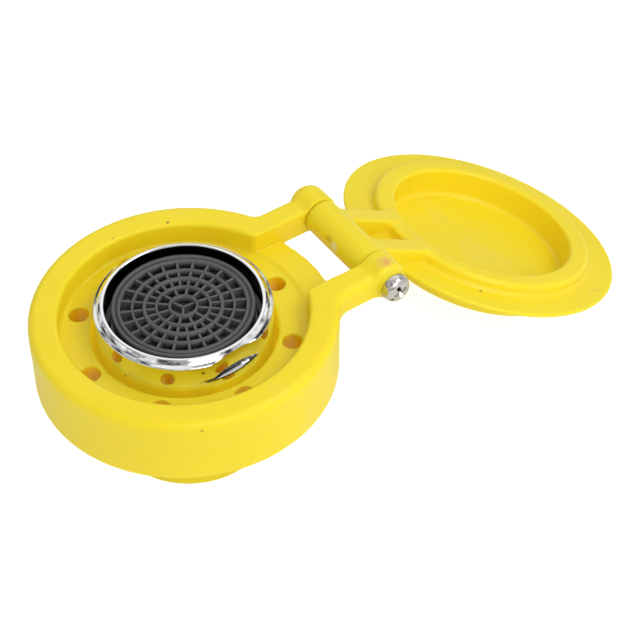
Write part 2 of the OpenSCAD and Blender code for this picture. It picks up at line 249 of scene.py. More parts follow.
def cap_shape(x, y, z):
    radius = np.hypot(x, y)
    h = z - cap_z
    # flange, thinner towards its edge
    taper = (flange_t - flange_edge_t) / (cap_r - plug_r)
    top = flange_edge_t + taper * np.minimum(cap_r - radius, cap_r - plug_r)
    flange = rounded_overlap(radius - cap_r, h - top, flange_round)
    flange = rounded_overlap(flange, -h, flange_round)
    plug = rectangle(radius, h, -plug_r, plug_r, -plug_h, flange_t - 0.3, plug_round)
    cap = rounded_union(flange, plug, plug_fillet)
    crown = rectangle(radius, h, -crown_r, crown_r, -1, crown_h, crown_round)
    crown = rounded_union(np.maximum(flange, -h + 0.5), crown, crown_fillet)
    cap = np.minimum(cap, crown)
    # webs to the barrel: their open side runs straight from the plug to the barrel
    root_x = recess_r + 0.4
    low_x = hinge_x - math.sqrt(barrel_r ** 2 - web_rise ** 2)
    low_z = cap_z - plug_h
    slope = math.atan2(low_z - hinge_z + web_rise, low_x - root_x)
    under = -(z - low_z) * math.cos(slope) - (x - root_x) * math.sin(slope)
    web = rounded_overlap(under, np.abs(np.abs(y) - web_mid) - web_half, 0.7)
    web = rounded_overlap(web, h - flange_edge_t + 0.05, 0.5)
    web = np.maximum(np.maximum(web, root_x - x), x - hinge_x)
    cap = rounded_union(cap, web, 0.7)
    barrel = hinge_rod(x, y, z, barrel_r, -barrel_end, barrel_end, 0.35)
    cap = rounded_union(cap, barrel, corner_fillet)
    recess = rounded_overlap(radius - recess_r, h - recess_top, 1.4)
    cap = carve(cap, recess, 0.9)
    bore = np.hypot(x - hinge_x, z - hinge_z) - screw_bore_r - 0.03
    return carve(cap, bore, 0.15)


def opened():
    """The turn about the hinge axis from the closed cap to the open one."""
    axis = Vector((hinge_x, 0, hinge_z))
    return (Matrix.Translation(axis) @ Matrix.Rotation(open_angle, 4, "Y")
            @ Matrix.Translation(-axis))


# ---------------------------------------------------------------- mesh from a solid shape

def gradient(shape, p, h=0.02):
    columns = []
    for axis in range(3):
        ahead, behind = p.copy(), p.copy()
        ahead[:, axis] += h
        behind[:, axis] -= h
        columns.append((shape(*ahead.T) - shape(*behind.T)) / (2 * h))
    return np.stack(columns, 1)


def settle(shape, p, rounds):
    """Moves points onto the shape's surface."""
    for _ in range(rounds):
        g = gradient(shape, p)
        length = np.maximum((g * g).sum(1, keepdims=True), 0.25)
        p = p - np.clip(shape(*p.T)[:, None] * g / length, -0.3, 0.3)
    return p


def surface_net(shape, low, high, step):
    """Corner points and four-sided faces of a shape's surface, from a grid of cells."""
    xs, ys, zs = (np.arange(a, b + step, step) for a, b in zip(low, high))
    field = shape(xs[:, None, None], ys[None, :, None], zs[None, None, :]).astype(np.float32)
    inside = field < 0
    count = sum(inside[i:len(xs) - 1 + i, j:len(ys) - 1 + j, k:len(zs) - 1 + k].astype(np.uint8)
                for i in (0, 1) for j in (0, 1) for k in (0, 1))
    mixed = (count > 0) & (count < 8)
    index = np.full(mixed.shape, -1, np.int64)
    total = int(mixed.sum())
    index[mixed] = np.arange(total)
    place = np.zeros((total, 3))
    hits = np.zeros(total)
    faces = []
    shape_n = np.array(field.shape)
    for a in range(3):
        b, c = (a + 1) % 3, (a + 2) % 3
        head = [slice(None)] * 3
        tail = [slice(None)] * 3
        head[a], tail[a] = slice(0, shape_n[a] - 1), slice(1, shape_n[a])
        cross = inside[tuple(head)] != inside[tuple(tail)]
        p = np.argwhere(cross)
        q = p.copy()
        q[:, a] += 1
        f0, f1 = field[tuple(p.T)], field[tuple(q.T)]
        point = p.astype(float)
        point[:, a] += f0 / (f0 - f1)
        ring = []
        for db, dc in ((0, 0), (1, 0), (1, 1), (0, 1)):
            cell = p.copy()
            cell[:, b] -= db
            cell[:, c] -= dc
            ring.append(index[tuple(cell.T)])
        for cells in ring:
            hits += np.bincount(cells, minlength=total)
            for k in range(3):
                place[:, k] += np.bincount(cells, point[:, k], minlength=total)
        quads = np.stack(ring, 1)
        out = inside[tuple(p.T)]
        faces += [quads[out], quads[~out][:, ::-1]]
    place = place / hits[:, None] * step + np.array([xs[0], ys[0], zs[0]])
    return settle(shape, place, 4), np.concatenate(faces)


def mesh_of(name, points, faces):
    """A mesh in metres from points in millimetres."""
    mesh = bpy.data.meshes.new(name)
    mesh.from_pydata((points * MM).tolist(), [], faces.tolist())
    mesh.polygons.foreach_set("use_smooth", [True] * len(mesh.polygons))
    return mesh


def moulded(name, shape, low, high, step, turn=None):
    """A moulded solid whose normals come from the shape itself."""
    points, faces = surface_net(shape, low, high, step)
    normals = gradient(shape, points)
    normals /= np.linalg.norm(normals, axis=1, keepdims=True)
    if turn is not None:
        matrix = np.array(turn)
        normals = normals @ matrix[:3, :3].T
        points = points @ matrix[:3, :3].T + matrix[:3, 3]
    mesh = mesh_of(name, points, faces)
    mesh.normals_split_custom_set_from_vertices(normals.tolist())
    return place(bpy.data.objects.new(name, mesh))


def place(obj):
    bpy.context.scene.collection.objects.link(obj)
    return obj


# ---------------------------------------------------------------- shader node groups

def new_group(name, inputs, outputs):
    """An empty node group. Inputs are (name, socket type, value), outputs (name, type)."""
    group = bpy.data.node_groups.new(name, "ShaderNodeTree")
    for label, kind, value in inputs:
        socket = group.interface.new_socket(label, in_out="INPUT", socket_type=kind)
        socket.default_value = value
    for label, kind in outputs:
        group.interface.new_socket(label, in_out="OUTPUT", socket_type=kind)
    return group, group.nodes.new("NodeGroupInput"), group.nodes.new("NodeGroupOutput")


def wire(tree, source, target):
    tree.links.new(source, target)


def feed(tree, value, socket):
    """Sets a socket from a number or from another socket."""
    if isinstance(value, (int, float)):
        socket.default_value = value
    else:
        wire(tree, value, socket)


def math_node(tree, operation, a, b=0.0):
    node = tree.nodes.new("ShaderNodeMath")
    node.operation = operation
    feed(tree, a, node.inputs[0])
    feed(tree, b, node.inputs[1])
    return node.outputs[0]


def noise_node(tree, vector, scale, detail=3.0, rough=0.55):
    node = tree.nodes.new("ShaderNodeTexNoise")
    node.inputs["Detail"].default_value = detail
    node.inputs["Roughness"].default_value = rough
    wire(tree, vector, node.inputs["Vector"])
    feed(tree, scale, node.inputs["Scale"])
    return node.outputs["Fac"]


def ramp_node(tree, value, low, high, out_low=0.0, out_high=1.0):
    node = tree.nodes.new("ShaderNodeMapRange")
    node.interpolation_type = "SMOOTHSTEP"
    wire(tree, value, node.inputs["Value"])
    for label, number in (("From Min", low), ("From Max", high),
                          ("To Min", out_low), ("To Max", out_high)):
        feed(tree, number, node.inputs[label])
    return node.outputs["Result"]


def mix_colours(tree, factor, first, second):
    node = tree.nodes.new("ShaderNodeMix")
    node.data_type = "RGBA"
    sockets = [s for s in node.inputs if s.type == "RGBA"]
    wire(tree, factor, node.inputs["Factor"])
    for socket, colour in zip(sockets, (first, second)):
        if isinstance(colour, tuple):
            socket.default_value = (*colour, 1.0)
        else:
            wire(tree, colour, socket)
    return [s for s in node.outputs if s.type == "RGBA"][0]


def moulding_group():
    """Cloudy tone, fine dimples and uneven gloss of an injection moulding."""
    group, entry, exit_node = new_group("moulding", [
        ("Cloud scale", "NodeSocketFloat", 60.0), ("Dimple scale", "NodeSocketFloat", 900.0)],
        [("Tone", "NodeSocketFloat"), ("Gloss", "NodeSocketFloat"),
         ("Height", "NodeSocketFloat")])
    where = group.nodes.new("ShaderNodeTexCoord").outputs["Object"]
    cloud = noise_node(group, where, entry.outputs["Cloud scale"], 4.0)
    dimple = noise_node(group, where, entry.outputs["Dimple scale"], 2.0)
    broad = noise_node(group, where, math_node(group, "MULTIPLY",
                                               entry.outputs["Cloud scale"], 0.4), 2.0)
    tone = math_node(group, "ADD", math_node(group, "MULTIPLY", cloud, 0.5),
                     math_node(group, "MULTIPLY", broad, 0.5))
    wire(group, ramp_node(group, tone, 0.3, 0.7), exit_node.inputs["Tone"])
    wire(group, ramp_node(group, math_node(group, "ADD", cloud, dimple), 0.7, 1.3),
         exit_node.inputs["Gloss"])
    wire(group, dimple, exit_node.inputs["Height"])
    return group


def specks_group():
    """Small dark specks, thinly spread."""
    group, entry, exit_node = new_group("specks", [
        ("Scale", "NodeSocketFloat", 180.0), ("Size", "NodeSocketFloat", 0.12),
        ("Share", "NodeSocketFloat", 0.1)], [("Mask", "NodeSocketFloat")])
    where = group.nodes.new("ShaderNodeTexCoord").outputs["Object"]
    cells = group.nodes.new("ShaderNodeTexVoronoi")
    wire(group, where, cells.inputs["Vector"])
    wire(group, entry.outputs["Scale"], cells.inputs["Scale"])
    near = math_node(group, "LESS_THAN", cells.outputs["Distance"], entry.outputs["Size"])
    split = group.nodes.new("ShaderNodeSeparateColor")
    wire(group, cells.outputs["Color"], split.inputs["Color"])
    chosen = math_node(group, "LESS_THAN", split.outputs["Red"], entry.outputs["Share"])
    wire(group, math_node(group, "MULTIPLY", near, chosen), exit_node.inputs["Mask"])
    return group


def blot_group():
    """A soft stain round one point, broken up at its edge."""
    group, entry, exit_node = new_group("blot", [
        ("Centre", "NodeSocketVector", (0.0, 0.0, 0.0)),
        ("Reach", "NodeSocketVector", (0.003, 0.003, 0.003)),
        ("Grain", "NodeSocketFloat", 700.0)], [("Mask", "NodeSocketFloat")])
    where = group.nodes.new("ShaderNodeTexCoord").outputs["Object"]
    offset = group.nodes.new("ShaderNodeVectorMath")
    offset.operation = "SUBTRACT"
    wire(group, where, offset.inputs[0])
    wire(group, entry.outputs["Centre"], offset.inputs[1])
    scaled = group.nodes.new("ShaderNodeVectorMath")
    scaled.operation = "DIVIDE"
    wire(group, offset.outputs[0], scaled.inputs[0])
    wire(group, entry.outputs["Reach"], scaled.inputs[1])
    length = group.nodes.new("ShaderNodeVectorMath")
    length.operation = "LENGTH"
    wire(group, scaled.outputs[0], length.inputs[0])
    grain = noise_node(group, where, entry.outputs["Grain"], 5.0, 0.6)
    spread = math_node(group, "ADD", length.outputs["Value"],
                       math_node(group, "MULTIPLY", math_node(group, "SUBTRACT", grain, 0.5), 1.6))
    mask = ramp_node(group, spread, 0.55, 1.1, 1.0, 0.0)
    wire(group, mask, exit_node.inputs["Mask"])
    return group


moulding = moulding_group()
specks = specks_group()
blot = blot_group()


def use_group(tree, group, **values):
    node = tree.nodes.new("ShaderNodeGroup")
    node.node_tree = group
    for label, value in values.items():
        node.inputs[label.replace("_", " ")].default_value = value
    return node


# ---------------------------------------------------------------- materials

def new_material(name, **values):
    """A material with a Principled shader whose plain values are set on its own sockets."""
    material = bpy.data.materials.new(name)
    material.use_nodes = True
    tree = material.node_tree
    shader = next(n for n in tree.nodes if n.type == "BSDF_PRINCIPLED")
    for label, value in values.items():
        shader.inputs[label.replace("_", " ")].default_value = value
    return material, tree, shader


def bump(tree, shader, height, strength, distance):
    node = tree.nodes.new("ShaderNodeBump")
    node.inputs["Strength"].default_value = strength
    node.inputs["Distance"].default_value = distance
    wire(tree, height, node.inputs["Height"])
    wire(tree, node.outputs["Normal"], shader.inputs["Normal"])


def axis_radius(tree):
    """Distance of a point from the bowl's axis, and its height, both in metres."""
    split = tree.nodes.new("ShaderNodeSeparateXYZ")
    wire(tree, tree.nodes.new("ShaderNodeTexCoord").outputs["Object"], split.inputs[0])
    squares = [math_node(tree, "MULTIPLY", split.outputs[k], split.outputs[k]) for k in "XY"]
    radius = math_node(tree, "SQRT", math_node(tree, "ADD", *squares))
    return radius, split.outputs["Z"]


def yellow_plastic(name, stains, holes=False):
    """Satin yellow plastic, a little translucent. Stains are (centre, reach, colour, weight)."""
    material, tree, shader = new_material(
        name, Subsurface_Weight=0.35, Subsurface_Radius=(1.0, 0.5, 0.04),
        Subsurface_Scale=0.0035, IOR=1.46, Specular_IOR_Level=0.4)
    skin = use_group(tree, moulding, Cloud_scale=45.0, Dimple_scale=1100.0)
    colour = mix_colours(tree, skin.outputs["Tone"], (0.885, 0.700, 0.013), (0.915, 0.735, 0.018))
    if holes:
        radius, height = axis_radius(tree)
        # painted shade: a deeper orange down inside the drain holes
        deep = ramp_node(tree, height, (basin_z - 1.2) * MM, (basin_z - 0.1) * MM, 1.0, 0.0)
        off_middle = math_node(tree, "ABSOLUTE", math_node(tree, "SUBTRACT", radius, drain_r * MM))
        within = ramp_node(tree, off_middle, drain_bore_r * MM, (drain_bore_r + 0.5) * MM, 1.0, 0.0)
        above = ramp_node(tree, height, (skirt_z - 0.2) * MM, skirt_z * MM)
        shade = math_node(tree, "MULTIPLY", math_node(tree, "MULTIPLY", deep, within), above)
        colour = mix_colours(tree, shade, colour, (0.91, 0.60, 0.006))
        # painted light: an emission glow in the narrow gap round the aerator, standing in for light
        # soaking through the plastic
        in_well = ramp_node(tree, radius, (well_r + 0.05) * MM, (well_r + 0.5) * MM, 1.0, 0.0)
        below_floor = ramp_node(tree, height, (basin_z - 0.3) * MM, basin_z * MM, 1.0, 0.0)
        painted_gap_glow = math_node(tree, "MULTIPLY", in_well, below_floor)
        painted_gap_glow = math_node(tree, "MULTIPLY", painted_gap_glow, above)
        wire(tree, mix_colours(tree, painted_gap_glow, (0.0, 0.0, 0.0), (0.86, 0.62, 0.012)),
             shader.inputs["Emission Color"])
        shader.inputs["Emission Strength"].default_value = 0.32
    where = tree.nodes.new("ShaderNodeTexCoord").outputs["Object"]
    smear = ramp_node(tree, noise_node(tree, where, 38.0, 7.0, 0.62), 0.56, 0.70, 0.0, 0.16)
    colour = mix_colours(tree, smear, colour, (0.82, 0.66, 0.20))
    dots = use_group(tree, specks, Scale=150.0, Size=0.07, Share=0.035)
    colour = mix_colours(tree, math_node(tree, "MULTIPLY", dots.outputs["Mask"], 0.5),
                         colour, (0.30, 0.17, 0.03))
    for centre, reach, tint, weight in stains:
        spot = use_group(tree, blot, Centre=[v * MM for v in centre],
                         Reach=[v * MM for v in reach])
        colour = mix_colours(tree, math_node(tree, "MULTIPLY", spot.outputs["Mask"], weight),
                             colour, tint)
    wire(tree, colour, shader.inputs["Base Color"])
    wire(tree, ramp_node(tree, skin.outputs["Gloss"], 0.0, 1.0, 0.34, 0.42),
         shader.inputs["Roughness"])
    bump(tree, shader, skin.outputs["Height"], 0.05, 0.00005)
    return material


def plated(name, tint, rough_low, rough_high, dirt, dirt_share):
    """Plated metal with faint wipe marks and specks of scale."""
    material, tree, shader = new_material(name, Metallic=1.0)
    skin = use_group(tree, moulding, Cloud_scale=130.0, Dimple_scale=2500.0)
    dots = use_group(tree, specks, Scale=420.0, Size=0.22, Share=dirt_share)
    darker = tuple(v * 0.86 for v in tint)
    colour = mix_colours(tree, skin.outputs["Tone"], darker, tint)
    colour = mix_colours(tree, math_node(tree, "MULTIPLY", dots.outputs["Mask"], 0.7),
                         colour, dirt)
    wire(tree, colour, shader.inputs["Base Color"])
    wire(tree, ramp_node(tree, skin.outputs["Gloss"], 0.0, 1.0, rough_low, rough_high),
         shader.inputs["Roughness"])
    bump(tree, shader, skin.outputs["Height"], 0.05, 0.00005)
    return material


def shader_and_colour(tree):
    """A material's Principled shader, and the socket that colours it so far."""
    shader = next(n for n in tree.nodes if n.type == "BSDF_PRINCIPLED")
    return shader, shader.inputs["Base Color"].links[0].from_socket


def screw_plate():
    """Bright nickel, darkened deep inside the cross recess."""
    material = plated("nickel", (0.66, 0.64, 0.60), 0.16, 0.30, (0.05, 0.04, 0.035), 0.12)
    tree = material.node_tree
    shader, bright = shader_and_colour(tree)
    pit = use_group(tree, blot, Reach=(0.0023, 0.0011, 0.0023), Grain=2500.0, Centre=[
        hinge_x * MM, (screw_low.y + 1.75) * MM, hinge_z * MM])
    wire(tree, mix_colours(tree, pit.outputs["Mask"], bright, (0.02, 0.018, 0.015)),
         shader.inputs["Base Color"])
    return material


def chrome_plate():
    """Mirror chrome, with painted shade darkening the inside of the shell's mouth."""
    material = plated("chrome", (0.88, 0.89, 0.90), 0.03, 0.08, (0.10, 0.09, 0.08), 0.05)
    tree = material.node_tree
    shader, bright = shader_and_colour(tree)
    radius, _ = axis_radius(tree)
    # painted shade: the chrome inside the mouth, below the lip, is made nearly black
    inside = ramp_node(tree, radius, (mouth_r + 0.04) * MM, (mouth_r + 0.12) * MM, 1.0, 0.0)
    # grime on the ledge under the near wrench flat
    ledge = use_group(tree, blot, Reach=(0.0085, 0.0022, 0.0006), Grain=1100.0, Centre=[
        -1.3 * MM, -(shell_high.x - 0.6) * MM, (shell_high.z - flat_h) * MM])
    grime = math_node(tree, "MULTIPLY", ledge.outputs["Mask"], 0.85)
    dull = mix_colours(tree, grime, bright, (0.035, 0.033, 0.030))
    # the painted shade inside the mouth goes over the plated colour
    wire(tree, mix_colours(tree, inside, dull, (0.034, 0.033, 0.031)),
         shader.inputs["Base Color"])
    return material


def plain_plastic(name, dark, light, rough_low, rough_high, dimple, strength):
    """Matt plastic or rubber with a cloudy tone and a fine grain."""
    material, tree, shader = new_material(name, IOR=1.5)
    skin = use_group(tree, moulding, Cloud_scale=160.0, Dimple_scale=dimple)
    wire(tree, mix_colours(tree, skin.outputs["Tone"], dark, light), shader.inputs["Base Color"])
    wire(tree, ramp_node(tree, skin.outputs["Gloss"], 0.0, 1.0, rough_low, rough_high),
         shader.inputs["Roughness"])
    bump(tree, shader, skin.outputs["Height"], strength, 0.00008)
    return material


def woven_wire(name, pitch, tint):
    """Plain-weave wire cloth, drawn as crossed waves, with painted shade darkening the gaps between
    the wires.
    """
    material, tree, shader = new_material(name, Metallic=1.0)
    split = tree.nodes.new("ShaderNodeSeparateXYZ")
    wire(tree, tree.nodes.new("ShaderNodeTexCoord").outputs["Object"], split.inputs[0])
    waves = []
    for axis in ("X", "Y"):
        phase = math_node(tree, "MULTIPLY", split.outputs[axis], 2 * math.pi / (pitch * MM))
        waves.append(math_node(tree, "MULTIPLY", math_node(tree, "SINE", phase), 0.5))
    weave = math_node(tree, "ADD", math_node(tree, "MULTIPLY", waves[0], waves[1]), 0.5)
    high = math_node(tree, "MAXIMUM", waves[0], waves[1])
    cloth = math_node(tree, "ADD", math_node(tree, "MULTIPLY", high, 0.8), weave)
    # painted shade: the gaps between the wires are made dark
    mask = ramp_node(tree, cloth, 0.2, 0.9)
    wire(tree, mix_colours(tree, mask, tuple(v * 0.12 for v in tint), tint),
         shader.inputs["Base Color"])
    wire(tree, ramp_node(tree, mask, 0.0, 1.0, 0.6, 0.32), shader.inputs["Roughness"])
    bump(tree, shader, cloth, 0.6, 0.0002)
    return material


def round_axis(turn, radius, z):
    """A point at a turn in degrees round the bowl's axis."""
    angle = math.radians(turn)
    return Vector((radius * math.cos(angle), radius * math.sin(angle), z))


def on_flange(turn, outside_plug):
    """A point on the open cap's flange. The turn is the closed cap's."""
    return opened() @ round_axis(turn, plug_r + outside_plug, cap_z)


tan = (0.80, 0.50, 0.10)
rust = (0.74, 0.34, 0.12)
soot = (0.28, 0.17, 0.05)
chalk = (0.84, 0.80, 0.66)
amber = (0.86, 0.54, 0.01)
bowl_stains = [
    ((hinge_x, -14.9, hinge_z + 4.6), (2.3, 2.2, 2.0), tan, 0.6),
    ((hinge_x + 0.5, -15.3, hinge_z + 4.4), (1.0, 1.2, 1.2), rust, 0.5),
    (round_axis(-116, bowl_r, rim_z - 1.9), (0.5, 0.5, 0.4), soot, 0.7),
    (round_axis(65, basin_r + 1, rim_z), (0.4, 0.4, 0.4), soot, 0.8),
    (round_axis(92, basin_r + 1, rim_z), (0.3, 0.3, 0.3), soot, 0.7),
]
cap_stains = [
    ((hinge_x - 4.3, -1.0, hinge_z + 0.9), (1.3, 1.6, 1.2), chalk, 0.5),
    ((hinge_x - 4.0, 1.0, hinge_z + 1.6), (0.9, 1.3, 0.9), soot, 0.35),
    ((hinge_x - 4.2, 0.0, hinge_z - 1.5), (1.2, 9.0, 1.2), amber, 0.5),
    (on_flange(137, 4), (3.6, 1.2, 1.2), tan, 0.45),
    (on_flange(152, 4), (1.4, 1.6, 1.0), tan, 0.45),
    (on_flange(-50, 1.2), (0.5, 0.5, 0.5), soot, 0.7),
    (on_flange(-116, 4.5), (4.0, 0.35, 1.2), tan, 0.5),
]
yellow_bowl = yellow_plastic("yellow_bowl", bowl_stains, holes=True)
yellow_cap = yellow_plastic("yellow_cap", cap_stains)
chrome = chrome_plate()
nickel = screw_plate()
steel = plated("steel", (0.62, 0.61, 0.58), 0.22, 0.38, (0.10, 0.09, 0.08), 0.10)
brass = plated("brass", (0.62, 0.44, 0.16), 0.20, 0.36, (0.16, 0.10, 0.04), 0.12)
grey_plastic = plain_plastic("grey_plastic", (0.078, 0.076, 0.072), (0.104, 0.101, 0.096),
                             0.38, 0.55, 2200.0, 0.15)
white_plastic = plain_plastic("white_plastic", (0.66, 0.66, 0.62), (0.74, 0.74, 0.70),
                              0.35, 0.50, 1500.0, 0.12)
blue_plastic = plain_plastic("blue_plastic", (0.08, 0.21, 0.42), (0.11, 0.27, 0.50),
                             0.35, 0.50, 1500.0, 0.12)
black_rubber = plain_plastic("black_rubber", (0.020, 0.020, 0.020), (0.040, 0.040, 0.038),
                             0.60, 0.80, 1100.0, 0.30)
fine_wire = woven_wire("fine_wire", 0.45, (0.30, 0.30, 0.29))
coarse_wire = woven_wire("coarse_wire", 0.8, (0.45, 0.45, 0.43))
strainer_wire = woven_wire("strainer_wire", 0.7, (0.55, 0.54, 0.50))


# ---------------------------------------------------------------- bowl and dust cap

def add_piece(obj, material, body, slot, *nodes):
    obj.data.materials.clear()
    obj.data.materials.append(material)
    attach(obj, body)
    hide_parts(*nodes)
    return obj


bowl = moulded("bowl_moulding", bowl_shape, (-36.3, -36.3, -1.3), (51.3, 36.3, 42.0), 0.55)
add_piece(bowl, yellow_bowl, "head", "yellow_plastic", "bowl")
cap = moulded("cap_moulding", cap_shape, (-36.8, -36.8, 30.0), (50.8, 36.8, 48.8), 0.5, opened())
add_piece(cap, yellow_cap, "cap", "yellow_plastic", "dust_cap")


# ---------------------------------------------------------------- turned pieces

def arc(x, z, r, start, end, steps=6):
    turns = np.radians(np.linspace(start, end, steps + 1))
    return [(x + r * math.cos(t), z + r * math.sin(t)) for t in turns]


def lathe(name, outline, segments, closed=True):
    """An outline of (radius, height) points turned about the Z axis, in millimetres."""
    angles = np.linspace(0, 2 * math.pi, segments, endpoint=False)
    outline = np.array(outline, float)
    n = len(outline)
    points = np.empty((segments, n, 3))
    points[:, :, 0] = outline[None, :, 0] * np.cos(angles)[:, None]
    points[:, :, 1] = outline[None, :, 0] * np.sin(angles)[:, None]
    points[:, :, 2] = outline[None, :, 1]
    faces = []
    rows = n if closed else n - 1
    for i in range(segments):
        j = (i + 1) % segments
        for k in range(rows):
            m = (k + 1) % n
            faces.append((i * n + k, j * n + k, j * n + m, i * n + m))
    mesh = bpy.data.meshes.new(name)
    mesh.from_pydata((points.reshape(-1, 3) * MM).tolist(), [], faces)
    work = bmesh.new()
    work.from_mesh(mesh)
    bmesh.ops.remove_doubles(work, verts=work.verts, dist=1e-7)
    bmesh.ops.recalc_face_normals(work, faces=work.faces)
    work.to_mesh(mesh)
    work.free()
    return place(bpy.data.objects.new(name, mesh))


def finished(obj):
    """Applies an object's modifiers to a new plain mesh."""
    view = bpy.context.evaluated_depsgraph_get()
    mesh = bpy.data.meshes.new_from_object(obj.evaluated_get(view))
    obj.modifiers.clear()
    obj.data = mesh
    return obj


def shade_smooth(obj, angle):
    obj.data.polygons.foreach_set("use_smooth", [True] * len(obj.data.polygons))
    obj.data.set_sharp_from_angle(angle=math.radians(angle))


def cut_away(obj, block):
    """Cuts a block out of a piece and removes the block."""
    cut = obj.modifiers.new("cut", "BOOLEAN")
    cut.operation = "DIFFERENCE"
    cut.solver = "EXACT"
    cut.object = block
    finished(obj)
    bpy.data.objects.remove(block)


def round_edges(obj, width, angle):
    """Rounds the edges sharper than an angle in degrees, by a width in millimetres."""
    edge = obj.modifiers.new("edge", "BEVEL")
    edge.width = width * MM
    edge.segments = 2
    edge.limit_method = "ANGLE"
    edge.angle_limit = math.radians(angle)
    finished(obj)


def chrome_shell():
    r, top = shell_high.x, shell_high.z
    grid_ledge_z = grid_low.z - 3.4
    ledge_r = grid_high.x + 0.5
    outline = [(shell_thread_r, shell_low.z), (r - 0.4, shell_low.z), (r, shell_low.z + 0.4)]
    outline += [(r, top - 1.5)]
    outline += arc(r - 0.35, top - 1.5, 0.35, 10, 70, 4)
    outline += [(r - 0.75, top - 0.95), (r - 0.85, top - 0.75), (r - 1.2, top - 0.55),
                (r - 1.3, top - 0.38), (r - 1.65, top - 0.22), (r - 1.75, top - 0.05)]
    outline += arc(mouth_r + 0.42, top - 0.25, 0.25, 80, 100, 2)
    outline += arc(mouth_r + 0.25, top - 0.3, 0.25, 110, 180, 4)
    outline += [(mouth_r, grid_ledge_z + 1.5), (ledge_r, grid_ledge_z + 1.5),
                (ledge_r, grid_ledge_z), (shell_thread_r, grid_ledge_z)]
    shell = lathe("chrome_shell", outline, 256)
    # two wrench flats
    for side in (-1, 1):
        bpy.ops.mesh.primitive_cube_add(size=1)
        block = bpy.context.object
        block_w, block_h = 5.0, 10.0
        middle = Matrix.Rotation(flat_turn, 4, "Z") @ Matrix.Translation(
            (0, side * (r - flat_depth + block_w / 2) * MM, (top - flat_h + block_h / 2) * MM))
        block.data.transform(middle @ Matrix.Diagonal((0.05, block_w * MM, block_h * MM, 1)))
        cut_away(shell, block)
    round_edges(shell, 0.12, 40)
    shade_smooth(shell, 35)
    return shell


add_piece(chrome_shell(), chrome, "head", "chrome", "aerator_shell")


def pan_screw():
    """Pan head with a cross recess, on a plain shank, along the hinge axis."""
    head_h = -screw_low.y - screw_seat
    head_r = screw_head_r
    tip = screw_high.y + screw_seat
    outline = [(0, -tip), (screw_r - 0.5, -tip), (screw_r, -tip + 0.8), (screw_r, 0),
               (head_r - 0.1, 0), (head_r, 0.15)]
    outline += arc(head_r - screw_head_round, head_h - screw_head_round - 0.05,
                   screw_head_round, 8, 62, 8)
    crown_x = outline[-1][0]
    crown_z = outline[-1][1]
    outline += [(crown_x * 0.66, crown_z + (head_h - crown_z) * 0.58),
                (crown_x * 0.33, crown_z + (head_h - crown_z) * 0.9), (0, head_h)]
    screw = lathe("pan_screw", outline, 96, closed=False)
    for turn in (20, 110):
        bpy.ops.mesh.primitive_cube_add(size=1)
        block = bpy.context.object
        work = bmesh.new()
        work.from_mesh(block.data)
        for vert in work.verts:
            deep = vert.co.z < 0
            vert.co.x *= 2.0 if deep else 4.6
            vert.co.y *= 0.7 if deep else 1.15
            vert.co.z = -1.7 if deep else 0.4
        work.to_mesh(block.data)
        work.free()
        block.data.transform(Matrix.Diagonal((MM, MM, MM, 1)))
        block.data.transform(Matrix.Translation((0, 0, head_h * MM))
                             @ Matrix.Rotation(math.radians(turn), 4, "Z"))
        cut_away(screw, block)
    round_edges(screw, 0.06, 35)
    screw.data.transform(Matrix.Translation((hinge_x * MM, -screw_seat * MM, hinge_z * MM))
                         @ Matrix.Rotation(math.radians(90), 4, "X"))
    shade_smooth(screw, 40)
    return screw


add_piece(pan_screw(), nickel, "head", "bright_steel", "hinge_screw")


# ---------------------------------------------------------------- outlet grid, by Geometry Nodes

